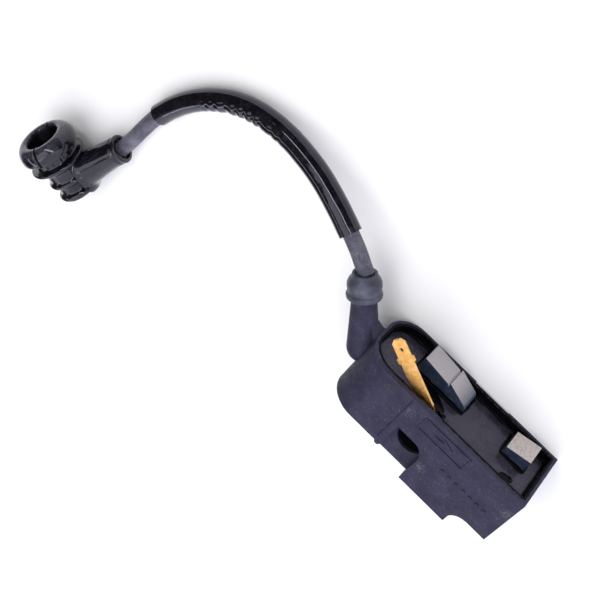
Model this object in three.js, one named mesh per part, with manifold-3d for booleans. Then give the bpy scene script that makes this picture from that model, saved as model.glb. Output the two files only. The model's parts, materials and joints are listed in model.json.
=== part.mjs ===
// Ignition coil for a small flywheel-magneto engine: a potted capacitor-discharge module,
// its laminated core, a high-tension lead with a sleeve, and a right-angle plug cap.
// Millimetres, +Z up. The module lies on its engine side (z = 0), its poles point to +Y,
// and the lead leaves the tower at the -X end. The origin is under the middle of the module.

import * as THREE from "three";
import { mergeVertices } from "three/addons/utils/BufferGeometryUtils.js";
import Module from "manifold-3d";

const wasm = await Module();
wasm.setup();

// ---------------------------------------------------------------- driving dimensions

const END_X = 40.6;           // outer face of the square end
const RIM_Y = 6.3;            // plane of the open rim
const WIDTH = 25.2;           // engine side to lettered side
const LENGTH = 62.4;          // square end to nose
const CLEAR = 0.3;            // gap between touching pieces

const NEAR_WALL = 2.05;
const WALL = 1.4;
const FLOOR = 1.6;
const NEAR_ARC = 10.0;        // plan radii of the rounded end
const FAR_ARC = 9.3;

const DRUM_DEPTH = 21.9;      // depths below the rim
const FOOT_DEPTH = 26.0;
const END_DEPTH = 19.9;
const DRUM_RUN = 42.6;        // distances from the square end
const STRIP_RUN = 40.3;
const FOOT_LEFT_RUN = 29.6;
const FOOT_RIGHT_RUN = 11.8;
const NOTCH = { run: 7.3, depth: 24.8, radius: 4.8 };

const POCKET_DEEP = 4.6;
const POCKET_TOP = 11.9;
const SCREW = { run: 34.6, depth: 15.4, bore: 5.0, hole: 2.65, boss: 6.3 };

const POTTING_TOP = 2.9;
const POTTING_THICK = 3.0;

const CORE_NEAR = 13.1;       // depth of the stack's near face behind the lettered side
const STACK = 8.5;
const MAIN_LEG = { left: 48.1, right: 30.0 };
const TRAIL_LEG = { left: 14.1, right: 6.1 };
const YOKE = { top: 11.5, bottom: 17.5, heel: 19.9 };

const TOWER_BASE = new THREE.Vector3(-32.4, 10.2, 13.1);
const TOWER_LEAN = 34.2;      // degrees from +Y towards -X
const TOWER_R = 3.85;
const TOWER_FOOT = { radius: 4.9, drop: 16.4 };   // the ball the tower widens into
const BOOT_LENGTH = 8.2;

const LEAD_R = 2.5;
const LEAD_BORE = LEAD_R + CLEAR;
const SLEEVE_OUTER = 3.55;
const SLEEVE_INNER = 2.95;

const CAP_ELBOW = new THREE.Vector3(-129.6, -41.7, 9.05);
const CAP_ARM_DIR = new THREE.Vector3(0.402, 0.9, -0.166);
const CAP_MOUTH_DIR = new THREE.Vector3(-0.742, 0.553, 0.378);
const ARM_LENGTH = 22.9;
const MOUTH_LENGTH = 16.6;

// The lead's route from the tower boot to the cap's arm, chosen by hand.
const LEAD_ROUTE = [
  [-38.4, 18.2, 13.1], [-42.7, 20.8, 12.9], [-47.1, 22.8, 12.5], [-55.9, 25.7, 11.0],
  [-64.2, 27.2, 9.0], [-73.0, 27.7, 7.2], [-81.8, 27.1, 5.7], [-90.3, 25.2, 4.6],
  [-98.2, 21.7, 4.0], [-104.9, 16.5, 3.8], [-110.0, 10.6, 3.75], [-113.8, 4.2, 3.75],
  [-116.6, -2.8, 3.75], [-118.2, -9.5, 3.85], [-119.3, -15.8, 4.2], [-120.3, -20.2, 4.6],
].map((point) => new THREE.Vector3(...point));
const SLEEVE_SPAN = [0.09, 0.835];

// distances from the square end, below the rim and behind the lettered side
const atRun = (run) => END_X - run;
const atDepth = (depth) => RIM_Y - depth;
const behind = (distance) => WIDTH - distance;

const NOSE_X = atRun(LENGTH);
const CORE_Z1 = behind(CORE_NEAR);
const CORE_Z0 = CORE_Z1 - STACK;

// ---------------------------------------------------------------- materials

const paint = (color, roughness, metalness = 0) =>
  new THREE.MeshStandardMaterial({ color, roughness, metalness });

const MATERIAL = {
  housing: paint(0x34343e, 0.62),
  resin: paint(0x3a3a42, 0.18),
  steel: paint(0x8d8f96, 0.4, 1),
  rivet: paint(0x9a9a9c, 0.4, 1),
  bobbin: paint(0xd9d2bd, 0.5),
  copper: paint(0xb4693a, 0.35, 1),
  ferrite: paint(0x3b3a3c, 0.6),
  board: paint(0x2f6b45, 0.5),
  film: paint(0xb8562c, 0.4),
  chip: paint(0x1d1d20, 0.5),
  resistor: paint(0xd6bd8c, 0.5),
  brass: paint(0xd9a54e, 0.3, 1),
  tin: paint(0xb9bcc0, 0.35, 1),
  boot: paint(0x4a4a52, 0.75),
  lead: paint(0x5a5966, 0.6),
  sleeve: paint(0x16151b, 0.16),
  cap: paint(0x15151a, 0.2),
  spring: paint(0xa9abb0, 0.3, 1),
};

// ---------------------------------------------------------------- solids

function toSolid(geometry) {
  const bare = geometry.clone();
  bare.deleteAttribute("normal");
  bare.deleteAttribute("uv");
  const merged = mergeVertices(bare, 1e-4);
  return new wasm.Manifold(new wasm.Mesh({
    numProp: 3,
    vertProperties: new Float32Array(merged.attributes.position.array),
    triVerts: new Uint32Array(merged.index.array),
  }));
}

function toGeometry(solid) {
  const mesh = solid.getMesh();
  const geometry = new THREE.BufferGeometry();
  geometry.setAttribute("position", new THREE.BufferAttribute(mesh.vertProperties, 3));
  geometry.setIndex(new THREE.BufferAttribute(mesh.triVerts, 1));
  geometry.computeVertexNormals();
  return geometry;
}

function extrude(shape, depth, curveSegments = 10) {
  return new THREE.ExtrudeGeometry(shape, { depth, bevelEnabled: false, curveSegments });
}

// A prism between two heights, its outline drawn in x and y.
function prismZ(shape, z0, z1, curveSegments) {
  return extrude(shape, z1 - z0, curveSegments).translate(0, 0, z0);
}

// A prism between two y planes, its outline drawn in x and z.
function prismY(shape, y0, y1, curveSegments) {
  return extrude(shape, y1 - y0, curveSegments).rotateX(Math.PI / 2).translate(0, y1, 0);
}

// A prism between two x planes, its outline drawn in y and z.
function prismX(shape, x0, x1) {
  return extrude(shape, x1 - x0).rotateZ(Math.PI / 2).rotateY(Math.PI / 2).translate(x0, 0, 0);
}

function box(x0, x1, y0, y1, z0, z1) {
  return new THREE.BoxGeometry(x1 - x0, y1 - y0, z1 - z0)
    .translate((x0 + x1) / 2, (y0 + y1) / 2, (z0 + z1) / 2);
}

function polygon(points) {
  return new THREE.Shape(points.map(([a, b]) => new THREE.Vector2(a, b)));
}

function rectangle(a0, a1, b0, b1) {
  return polygon([[a0, b0], [a1, b0], [a1, b1], [a0, b1]]);
}

function disc(a, b, radius) {
  return new THREE.Shape().absarc(a, b, radius, 0, Math.PI * 2, false);
}

// A turned solid about +Z from [radius, height] points.
function turned(points, segments = 32) {
  const profile = points.map(([radius, height]) => new THREE.Vector2(radius, height));
  return new THREE.LatheGeometry(profile, segments).rotateX(Math.PI / 2);
}

function ringProfile(inner, outer, low, high) {
  return [[inner, low], [outer, low], [outer, high], [inner, high], [inner, low]];
}

function rod(radius, low, high) {
  return [[0, low], [radius, low], [radius, high], [0, high]];
}

// Turns +Z onto the tower's axis and moves the origin to the boot's seat.
const towerFrame = new THREE.Matrix4()
  .makeRotationZ(THREE.MathUtils.degToRad(TOWER_LEAN))
  .multiply(new THREE.Matrix4().makeRotationX(-Math.PI / 2))
  .setPosition(TOWER_BASE);

const onTower = (points, segments) => turned(points, segments).applyMatrix4(towerFrame);

// ---------------------------------------------------------------- housing

function planOutline(near, other) {
  const x0 = NOSE_X + other;
  const x1 = END_X - other;
  const shape = new THREE.Shape();
  shape.moveTo(x1, other);
  shape.lineTo(x1, WIDTH - near);
  shape.lineTo(NOSE_X + NEAR_ARC, WIDTH - near);
  shape.absellipse(NOSE_X + NEAR_ARC, WIDTH - NEAR_ARC, NEAR_ARC - other, NEAR_ARC - near,
    Math.PI / 2, Math.PI, false);
  shape.lineTo(x0, FAR_ARC);
  shape.absellipse(NOSE_X + FAR_ARC, FAR_ARC, FAR_ARC - other, FAR_ARC - other,
    Math.PI, Math.PI * 1.5, false);
  shape.closePath();
  return shape;
}

// The outline seen from the lettered side. A wall thickness draws the cavity instead.
function sideOutline(wall, floor, top) {
  const notchX = atRun(NOTCH.run);
  const notchY = atDepth(NOTCH.depth);
  const radius = NOTCH.radius + wall;
  const footRight = Math.min(atRun(FOOT_RIGHT_RUN) - wall, notchX - 0.5);
  const leave = Math.acos(THREE.MathUtils.clamp((footRight - notchX) / radius, -1, 1));
  const endY = atDepth(END_DEPTH) + floor;
  const shape = new THREE.Shape();
  shape.moveTo(NOSE_X - 1 + wall, atDepth(0) + top);
  shape.lineTo(NOSE_X - 1 + wall, atDepth(DRUM_DEPTH) + floor);
  shape.lineTo(atRun(DRUM_RUN) + wall, atDepth(DRUM_DEPTH) + floor);
  shape.lineTo(atRun(DRUM_RUN) + wall, atDepth(FOOT_DEPTH) + floor);
  shape.lineTo(footRight, atDepth(FOOT_DEPTH) + floor);
  shape.absarc(notchX, notchY, radius, leave, Math.PI / 2, true);
  shape.lineTo(notchX, endY);
  shape.lineTo(END_X + 1, endY);
  shape.lineTo(END_X + 1, atDepth(0) + top);
  shape.closePath();
  return shape;
}

// The screw pocket: open at the foot, its upper right corner swept round the screw.
function pocketOutline(grow) {
  const x0 = atRun(STRIP_RUN) - grow;
  const x1 = atRun(FOOT_LEFT_RUN) + grow;
  const top = atDepth(POCKET_TOP) + grow;
  const sweep = 4.2;
  const shape = new THREE.Shape();
  shape.moveTo(x0, atDepth(FOOT_DEPTH) - 1);
  shape.lineTo(x1, atDepth(FOOT_DEPTH) - 1);
  shape.lineTo(x1, top - sweep);
  shape.absarc(x1 - sweep, top - sweep, sweep, 0, Math.PI / 2, false);
  shape.lineTo(x0, top);
  shape.closePath();
  return shape;
}

function gussetOutline() {
  const shape = new THREE.Shape();
  shape.moveTo(-31.0, 6.5);
  shape.lineTo(-27.4, 7.9);
  shape.quadraticCurveTo(-25.2, 5.6, NOSE_X + 0.6, RIM_Y - 0.8);
  shape.lineTo(NOSE_X + 0.6, -9.0);
  shape.closePath();
  return shape;
}

function frameOutline(x0, x1, y0, y1, line) {
  const shape = rectangle(x0, x1, y0, y1);
  shape.holes.push(rectangle(x0 + line, x1 - line, y0 + line, y1 - line));
  return shape;
}

// Raised marks on the lettered side: a plain frame with a spark mark, and a row of pips.
function raisedMarks() {
  const low = WIDTH - 0.4;
  const high = WIDTH + 0.28;
  const frame = frameOutline(atRun(36.6), atRun(19.1), atDepth(7.0), atDepth(1.7), 0.5);
  const x = atRun(27.85);
  const y = atDepth(4.35);
  const spark = polygon([[x - 3.4, y - 0.1], [x + 0.5, y - 1.5], [x + 0.1, y - 0.2],
    [x + 3.4, y + 0.1], [x - 0.5, y + 1.5], [x - 0.1, y + 0.2]]);
  const marks = [prismZ(frame, low, high), prismZ(spark, low, high)];
  const pipCount = 7;
  for (let i = 0; i < pipCount; i += 1) {
    const pip = disc(atRun(22.4 - i * 2.7), atDepth(12.4), 0.75);
    marks.push(prismZ(pip, low, high, 4));
  }
  return marks;
}

// From the middle of the ball's underside up to the end inside the boot.
function towerProfile() {
  const { radius, drop } = TOWER_FOOT;
  const steps = 8;
  const ball = Array.from({ length: steps + 1 }, (_, i) => {
    const angle = (i * Math.PI) / (2 * steps);
    return [radius * Math.sin(angle), -drop - radius * Math.cos(angle)];
  });
  return [...ball, [TOWER_R, -1.5], [TOWER_R, 5], [0, 5]];
}

function makeHousing() {
  const plan = toSolid(prismY(planOutline(0, 0), atDepth(FOOT_DEPTH) - 2, RIM_Y, 14));
  let body = plan.intersect(toSolid(prismZ(sideOutline(0, 0, 1), -1, WIDTH + 1, 12)));

  const column = toSolid(onTower(towerProfile(), 40));
  const gussetHalf = 2.0;
  const gusset = prismZ(gussetOutline(), TOWER_BASE.z - gussetHalf, TOWER_BASE.z + gussetHalf);
  body = body.add(column).add(toSolid(gusset));

  const pocketBlock = toSolid(prismZ(pocketOutline(WALL), behind(POCKET_DEEP + WALL), WIDTH + 1));
  const cavity = toSolid(prismY(planOutline(NEAR_WALL, WALL), atDepth(FOOT_DEPTH), RIM_Y + 1, 14))
    .intersect(toSolid(prismZ(sideOutline(WALL, FLOOR, 2), -1, WIDTH + 1, 12)))
    .subtract(pocketBlock);
  body = body.subtract(cavity);

  const screwX = atRun(SCREW.run);
  const screwY = atDepth(SCREW.depth);
  const boss = disc(screwX, screwY, SCREW.boss);
  body = body.add(toSolid(prismZ(boss, CORE_Z1 + CLEAR, behind(POCKET_DEEP + 0.4), 10)));
  body = body.add(toSolid(prismZ(boss, 0.4, CORE_Z0 - CLEAR, 10)));
  body = body.subtract(toSolid(prismZ(disc(screwX, screwY, SCREW.bore), -1, WIDTH + 1, 14)
    ).intersect(toSolid(box(-60, 60, -60, 60, -1, behind(POCKET_DEEP) + 0.01))));

  body = body.subtract(toSolid(prismZ(pocketOutline(0), behind(POCKET_DEEP), WIDTH + 1)));
  body = body.subtract(toSolid(box(atRun(DRUM_RUN) - 0.5, atRun(STRIP_RUN) + 0.1,
    atDepth(FOOT_DEPTH) - 1, atDepth(DRUM_DEPTH), behind(POCKET_DEEP), WIDTH + 1)));
  const nub = disc(atRun((DRUM_RUN + STRIP_RUN) / 2), atDepth(DRUM_DEPTH) + 0.1, 1.0);
  body = body.add(toSolid(prismZ(nub, behind(POCKET_DEEP) - 0.2, WIDTH, 6)));

  const grooveX = atRun(DRUM_RUN);
  body = body.subtract(toSolid(box(grooveX - 0.25, grooveX + 0.2,
    atDepth(DRUM_DEPTH - 2), atDepth(0.6), WIDTH - 0.35, WIDTH + 1)));
  body = body.subtract(toSolid(box(atRun(32.6), atRun(19.4), -60, 60, -1, 0.7)));

  for (const mark of raisedMarks()) {
    body = body.add(toSolid(mark));
  }
  body = body.subtract(toSolid(onTower(rod(LEAD_BORE, -9, 6), 24)));
  body = body.subtract(toSolid(onTower(rod(0.9, -26, -8), 12)));
  return toGeometry(body);
}

// ---------------------------------------------------------------- core

const POLE_TOPS = { mainLeft: 2.8, mainStep: 1.65, mainNext: 2.3, mainRight: -0.3,
  trailLeft: 0.1, trailRight: 1.9 };

function coreOutline() {
  const stepRun = 38.4;
  const chamfer = 0.8;
  return polygon([
    [atRun(MAIN_LEG.left), RIM_Y + POLE_TOPS.mainLeft],
    [atRun(MAIN_LEG.left), atDepth(YOKE.heel)],
    [atRun(MAIN_LEG.right), atDepth(YOKE.heel)],
    [atRun(MAIN_LEG.right - 2), atDepth(YOKE.bottom)],
    [atRun(TRAIL_LEG.right), atDepth(YOKE.bottom)],
    [atRun(TRAIL_LEG.right), RIM_Y + POLE_TOPS.trailRight],
    [atRun(TRAIL_LEG.left), RIM_Y + POLE_TOPS.trailLeft],
    [atRun(TRAIL_LEG.left), atDepth(YOKE.top)],
    [atRun(MAIN_LEG.right), atDepth(YOKE.top)],
    [atRun(MAIN_LEG.right), RIM_Y + POLE_TOPS.mainRight - chamfer],
    [atRun(MAIN_LEG.right + chamfer), RIM_Y + POLE_TOPS.mainRight],
    [atRun(stepRun - 0.5), RIM_Y + POLE_TOPS.mainNext],
    [atRun(stepRun - 0.5), RIM_Y + POLE_TOPS.mainStep - 0.5],
    [atRun(stepRun), RIM_Y + POLE_TOPS.mainStep - 0.5],
    [atRun(stepRun), RIM_Y + POLE_TOPS.mainStep],
  ]);
}

// Coined rings that the screw head and the crankcase post bear on.
const SEAT = { radius: 4.6, raise: 0.15 };
const RIVET_PLACES = { main: [44.4, 17.6], trailing: [10.1, 14.5] };

function makeCore() {
  const seat = disc(atRun(SCREW.run), atDepth(SCREW.depth), SEAT.radius);
  let core = toSolid(prismZ(coreOutline(), CORE_Z0, CORE_Z1))
    .add(toSolid(prismZ(seat, CORE_Z0 - SEAT.raise, CORE_Z1 + SEAT.raise, 12)));
  const hole = disc(atRun(SCREW.run), atDepth(SCREW.depth), SCREW.hole);
  core = core.subtract(toSolid(prismZ(hole, -1, WIDTH, 8)));
  for (const [run, depth] of Object.values(RIVET_PLACES)) {
    core = core.subtract(toSolid(prismZ(disc(atRun(run), atDepth(depth), 1.5), -1, WIDTH, 5)));
  }
  return toGeometry(core);
}

function makeRivet([run, depth]) {
  const head = 0.8;
  const low = CORE_Z0 - CLEAR;
  const high = CORE_Z1 + CLEAR;
  const profile = [[0, low - head], [2.0, low - head], [2.0, low], [1.2, low], [1.2, high],
    [2.0, high], [2.0, high + head], [0, high + head]];
  return turned(profile, 20).translate(atRun(run), atDepth(depth), 0);
}

// ---------------------------------------------------------------- coils

function squareRing(inner, outer) {
  const shape = rectangle(...outer);
  shape.holes.push(rectangle(...inner));
  return shape;
}

const COIL_RUN = { left: 27.8, right: 15.6 };
const BOBBIN_WALL = 0.5;

// [y0, y1, z0, z1] of the yoke's section, grown all round.
function yokeSection(grow, growFar = grow) {
  return [atDepth(YOKE.bottom) - grow, atDepth(YOKE.top) + grow, CORE_Z0 - growFar, CORE_Z1 + grow];
}

function makeChargeBobbin() {
  const flange = 0.7;
  const x0 = atRun(COIL_RUN.left);
  const x1 = atRun(COIL_RUN.right);
  const inner = yokeSection(CLEAR);
  const wall = yokeSection(CLEAR + BOBBIN_WALL);
  const edge = yokeSection(2.9, 1.7);
  const tube = toSolid(prismX(squareRing(inner, wall), x0, x1));
  const left = toSolid(prismX(squareRing(inner, edge), x0, x0 + flange));
  const right = toSolid(prismX(squareRing(inner, edge), x1 - flange, x1));
  return toGeometry(tube.add(left).add(right));
}

function makeChargeWinding() {
  const gap = CLEAR + BOBBIN_WALL + 0.1;
  const shape = squareRing(yokeSection(gap), yokeSection(2.6, 1.5));
  return prismX(shape, atRun(COIL_RUN.left) + 1.0, atRun(COIL_RUN.right) - 1.0);
}

const TRANSFORMER = { run: 54.7, z: 12.3, low: 19.8, high: 6.6 };

// A turned piece on the transformer's upright axis, heights measured from its lower end.
function onTransformer(points, segments = 20) {
  return turned(points, segments).rotateX(-Math.PI / 2)
    .translate(atRun(TRANSFORMER.run), atDepth(TRANSFORMER.low), TRANSFORMER.z);
}

function spool(bore, wall, edge, low, high) {
  const flange = 0.6;
  return [[bore, low], [edge, low], [edge, low + flange], [wall, low + flange],
    [wall, high - flange], [edge, high - flange], [edge, high], [bore, high], [bore, low]];
}

const TRANSFORMER_HEIGHT = TRANSFORMER.low - TRANSFORMER.high;

// ---------------------------------------------------------------- electronics

const BOARD = { left: 27.4, right: 3.2, low: 17.0, high: 7.6, near: 2.9, thick: 1.2 };
const BOARD_BACK = behind(BOARD.near + BOARD.thick + CLEAR);

function makeBoard() {
  return box(atRun(BOARD.left), atRun(BOARD.right), atDepth(BOARD.low), atDepth(BOARD.high),
    behind(BOARD.near + BOARD.thick), behind(BOARD.near));
}

function makeCapacitor() {
  return box(atRun(27.0), atRun(16.4), atDepth(16.4), atDepth(8.0), BOARD_BACK - 5.2, BOARD_BACK);
}

function makeThyristor() {
  const x = atRun(12.4);
  const shape = new THREE.Shape();
  shape.absarc(x, BOARD_BACK - 1.5, 2.3, Math.PI - 0.71, Math.PI * 2 + 0.71, false);
  shape.closePath();
  return prismY(shape, atDepth(13.0), atDepth(8.4), 8);
}

function makeAxialPart(radius, length, run, depth) {
  return turned(rod(radius, 0, length), 18).rotateY(Math.PI / 2)
    .translate(atRun(run), atDepth(depth), BOARD_BACK - radius);
}

function makeEarthStrap() {
  return box(atRun(9.4), atRun(7.0), atDepth(17.2), atDepth(16.5),
    CORE_Z1 + CLEAR, BOARD_BACK);
}

// ---------------------------------------------------------------- kill terminal

const TAB = { tipRun: 57.8, tipRise: 8.3, angle: 27.5, width: 4.2, thick: 0.8, near: 3.2 };

// Points along and across the blade, measured from the tip towards the foot.
function bladePoint(along, across) {
  const angle = THREE.MathUtils.degToRad(TAB.angle);
  const x = atRun(TAB.tipRun) + along * Math.cos(angle) + across * Math.sin(angle);
  const y = RIM_Y + TAB.tipRise - along * Math.sin(angle) + across * Math.cos(angle);
  return [x, y];
}

function bladeOutline(grow) {
  const half = TAB.width / 2 + grow;
  const corner = 1.1;
  const ear = 0.7;
  return polygon([
    bladePoint(-grow, half - corner), bladePoint(-grow, corner - half),
    bladePoint(corner, -half), bladePoint(5.6, -half), bladePoint(5.9, -half - ear),
    bladePoint(7.4, -half - ear), bladePoint(7.8, -half), bladePoint(20.5, -half),
    [atRun(34.0), atDepth(9.2)], [atRun(29.0), atDepth(9.2)], [atRun(29.0), atDepth(6.4)],
    bladePoint(24.5, half), bladePoint(7.8, half), bladePoint(7.4, half + ear),
    bladePoint(5.9, half + ear), bladePoint(5.6, half), bladePoint(corner, half),
  ]);
}

function makeKillTerminal() {
  const shape = bladeOutline(0);
  const [holeX, holeY] = bladePoint(3.4, 0);
  shape.holes.push(new THREE.Path().absarc(holeX, holeY, 0.75, 0, Math.PI * 2, true));
  const blade = toSolid(prismZ(shape, behind(TAB.near + TAB.thick), behind(TAB.near), 5));
  const relief = box(-60, 60, -60, RIM_Y + 0.35, behind(TAB.near + 0.1), WIDTH);
  return toGeometry(blade.subtract(toSolid(relief)));
}

function makePotting() {
  const low = atDepth(POTTING_TOP + POTTING_THICK);
  const plan = planOutline(NEAR_WALL + CLEAR, WALL + CLEAR);
  let resin = toSolid(prismY(plan, low, atDepth(POTTING_TOP), 14));
  for (const leg of [MAIN_LEG, TRAIL_LEG]) {
    resin = resin.subtract(toSolid(box(atRun(leg.left) - CLEAR, atRun(leg.right) + CLEAR,
      -60, 60, CORE_Z0 - CLEAR, CORE_Z1 + CLEAR)));
  }
  const slot = prismZ(bladeOutline(CLEAR), behind(TAB.near + TAB.thick + CLEAR), WIDTH);
  return toGeometry(resin.subtract(toSolid(slot)));
}

// ---------------------------------------------------------------- tower boot and lead

const BOOT_BORE = TOWER_R + CLEAR;

function bootProfile() {
  return [
    [BOOT_BORE, 0], [4.95, 0], [5.35, 0.4], [5.45, 1.1], [5.3, 1.8], [4.95, 2.1],
    [5.0, 2.8], [5.2, 3.9], [5.15, 5.0], [4.7, 6.2], [3.95, 6.9], [3.85, 7.5],
    [3.7, BOOT_LENGTH], [LEAD_BORE, BOOT_LENGTH], [LEAD_BORE, 5.3], [BOOT_BORE, 5.3],
    [BOOT_BORE, 0],
  ];
}

const leadCurve = new THREE.CatmullRomCurve3(LEAD_ROUTE);

function alongCurve(shape, curve, steps, curveSegments) {
  return new THREE.ExtrudeGeometry(shape, { steps, extrudePath: curve, curveSegments,
    bevelEnabled: false });
}

function regularRing(radius, sides, inner = 0) {
  const loop = (r, direction) => Array.from({ length: sides }, (_, i) => {
    const angle = (direction * i * 2 * Math.PI) / sides;
    return new THREE.Vector2(r * Math.cos(angle), r * Math.sin(angle));
  });
  const shape = new THREE.Shape(loop(radius, 1));
  if (inner > 0) {
    shape.holes.push(new THREE.Path(loop(inner, -1)));
  }
  return shape;
}

function makeLead() {
  return alongCurve(regularRing(LEAD_R, 12), leadCurve, 40);
}

function makeSleeve() {
  const [start, end] = SLEEVE_SPAN;
  const count = 24;
  const points = Array.from({ length: count + 1 }, (_, i) =>
    leadCurve.getPointAt(start + ((end - start) * i) / count));
  const curve = new THREE.CatmullRomCurve3(points);
  return alongCurve(regularRing(SLEEVE_OUTER, 12, SLEEVE_INNER), curve, 24);
}

// The straight ends of the lead, pierced along the middle by their terminal pins.
function leadEndProfile(low, high, pierced) {
  const hole = 1.1;
  return [[0, low + pierced], [hole, low + pierced], [hole, low], [LEAD_R, low],
    [LEAD_R, high], [0, high]];
}

function terminalProfile(base, top) {
  return [[0, base], [2.4, base], [2.4, base + 0.7], [0.8, base + 0.7], [0.8, top - 1],
    [0.15, top], [0, top]];
}

// ---------------------------------------------------------------- plug cap

const capFrame = (() => {
  const arm = CAP_ARM_DIR.clone().normalize();
  const side = arm.clone().cross(CAP_MOUTH_DIR).normalize();
  const ahead = side.clone().cross(arm);
  return new THREE.Matrix4().makeBasis(ahead, side, arm).setPosition(CAP_ELBOW);
})();

const MOUTH_BORE = 5.2;
const SOCKET_BORE = 4.5;

// The mouth leans a few degrees from square to the arm.
const MOUTH_LEAN = Math.PI / 2 - CAP_ARM_DIR.angleTo(CAP_MOUTH_DIR);

// Outer shape about the mouth's axis: end ring, small ring, barrel, two flanges.
function barrelProfile() {
  const face = MOUTH_LENGTH;
  return [
    [0, -6.5], [5.6, -6.5], [6.6, -6.0], [7.0, -5.0], [6.7, -4.2], [5.9, -3.6],
    [5.8, -1.2], [6.9, -0.4], [7.3, 0.4], [6.9, 1.1], [6.4, 1.6], [6.5, 4.8],
    [7.7, 5.5], [9.1, 6.3], [9.45, 7.0], [9.2, 7.6], [7.2, 8.0], [7.1, 8.6], [7.1, 10.2],
    [7.4, 10.65], [9.2, 10.9], [9.75, 11.5], [9.9, 12.6], [9.65, 14.1], [9.1, 15.2],
    [8.4, 15.95], [7.5, 16.4], [6.3, face], [5.5, face - 0.1], [0, face - 0.1],
  ];
}

function armProfile() {
  const lip = ARM_LENGTH;
  return [[0, 0], [6.0, 0], [6.0, 3.0], [4.65, lip - 3.0], [4.55, lip - 2.1],
    [4.2, lip - 1.9], [4.2, lip - 1.5], [4.65, lip - 1.2], [4.7, lip - 0.4],
    [4.4, lip], [0, lip]];
}

const turnedToMouth = (points, segments) =>
  turned(points, segments).rotateY(Math.PI / 2 - MOUTH_LEAN);

function makePlugCap() {
  const barrel = toSolid(turnedToMouth(barrelProfile(), 30));
  const arm = toSolid(turned(armProfile(), 26));
  const mouth = toSolid(turnedToMouth(rod(MOUTH_BORE, 6.0, MOUTH_LENGTH + 1), 24));
  const socket = toSolid(turnedToMouth(rod(SOCKET_BORE, -3.0, 7.0), 24));
  const leadBore = toSolid(turned(rod(LEAD_BORE, 0, ARM_LENGTH + 1), 24));
  const recess = toSolid(turned(rod(3.4, ARM_LENGTH - 1.2, ARM_LENGTH + 1), 24));
  return toGeometry(barrel.add(arm).subtract(mouth).subtract(socket)
    .subtract(leadBore).subtract(recess));
}

class Helix extends THREE.Curve {
  constructor(radius, start, end, turns) {
    super();
    Object.assign(this, { radius, start, end, turns });
  }

  getPoint(t, target = new THREE.Vector3()) {
    const angle = t * this.turns * 2 * Math.PI;
    const rise = this.start + t * (this.end - this.start);
    return target.set(rise, this.radius * Math.cos(angle), this.radius * Math.sin(angle));
  }
}

function makeContactSpring() {
  return alongCurve(regularRing(0.4, 6), new Helix(3.3, -2.2, 6.2, 3.5), 56)
    .rotateY(-MOUTH_LEAN);
}

// ---------------------------------------------------------------- assembly

const part = new THREE.Group();

function addPiece(group, name, geometry, material) {
  const mesh = new THREE.Mesh(geometry, material);
  mesh.name = name;
  group.add(mesh);
}

addPiece(part, "housing", makeHousing(), MATERIAL.housing);
addPiece(part, "potting_compound", makePotting(), MATERIAL.resin);
addPiece(part, "laminated_core", makeCore(), MATERIAL.steel);
addPiece(part, "core_rivet_main", makeRivet(RIVET_PLACES.main), MATERIAL.rivet);
addPiece(part, "core_rivet_trailing", makeRivet(RIVET_PLACES.trailing), MATERIAL.rivet);
addPiece(part, "charge_coil_bobbin", makeChargeBobbin(), MATERIAL.bobbin);
addPiece(part, "charge_coil_winding", makeChargeWinding(), MATERIAL.copper);
addPiece(part, "transformer_core", onTransformer(rod(1.6, 0, TRANSFORMER_HEIGHT), 20), MATERIAL.ferrite);
addPiece(part, "primary_bobbin",
  onTransformer(spool(1.9, 2.3, 3.3, 0.4, TRANSFORMER_HEIGHT - 0.4)), MATERIAL.bobbin);
addPiece(part, "primary_winding",
  onTransformer(ringProfile(2.4, 3.1, 1.3, TRANSFORMER_HEIGHT - 1.3)), MATERIAL.copper);
addPiece(part, "secondary_bobbin",
  onTransformer(spool(3.6, 4.0, 5.8, 0.4, TRANSFORMER_HEIGHT - 0.4)), MATERIAL.bobbin);
addPiece(part, "secondary_winding",
  onTransformer(ringProfile(4.1, 5.5, 1.3, TRANSFORMER_HEIGHT - 1.3)), MATERIAL.copper);
addPiece(part, "circuit_board", makeBoard(), MATERIAL.board);
addPiece(part, "storage_capacitor", makeCapacitor(), MATERIAL.film);
addPiece(part, "thyristor", makeThyristor(), MATERIAL.chip);
addPiece(part, "charge_diode", makeAxialPart(1.3, 4.6, 15.6, 15.2), MATERIAL.chip);
addPiece(part, "damper_diode", makeAxialPart(1.3, 4.6, 9.6, 12.0), MATERIAL.chip);
addPiece(part, "gate_resistor", makeAxialPart(1.1, 5.2, 9.6, 8.9), MATERIAL.resistor);
addPiece(part, "kill_terminal", makeKillTerminal(), MATERIAL.brass);
addPiece(part, "earth_strap", makeEarthStrap(), MATERIAL.tin);
addPiece(part, "ht_output_wire", onTower(rod(0.6, -21.2, -9.3), 10), MATERIAL.copper);
addPiece(part, "ht_terminal", onTower(terminalProfile(-8.7, 0), 18), MATERIAL.brass);
addPiece(part, "tower_boot", onTower(bootProfile(), 28), MATERIAL.boot);
addPiece(part, "ht_lead_tower_end",
  onTower(leadEndProfile(-7.7, BOOT_LENGTH - 0.3, 9), 24), MATERIAL.lead);
addPiece(part, "ht_lead", makeLead(), MATERIAL.lead);
addPiece(part, "protective_sleeve", makeSleeve(), MATERIAL.sleeve);

const cap = new THREE.Group();
cap.applyMatrix4(capFrame);
part.add(cap);
addPiece(cap, "ht_lead_cap_end",
  turned(leadEndProfile(5.2, ARM_LENGTH - 0.3, 8.5), 24), MATERIAL.lead);
addPiece(cap, "plug_cap", makePlugCap(), MATERIAL.cap);
addPiece(cap, "cap_terminal_pin", turned(rod(0.8, 4.0, 12.5), 14), MATERIAL.brass);
addPiece(cap, "cap_contact_spring", makeContactSpring(), MATERIAL.spring);

export default part;
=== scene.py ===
"""Ignition coil: potted module with its core, high-tension lead, sleeve and plug cap."""
import json
import math

import bmesh
import bpy
from mathutils import Matrix, Vector, noise


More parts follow.
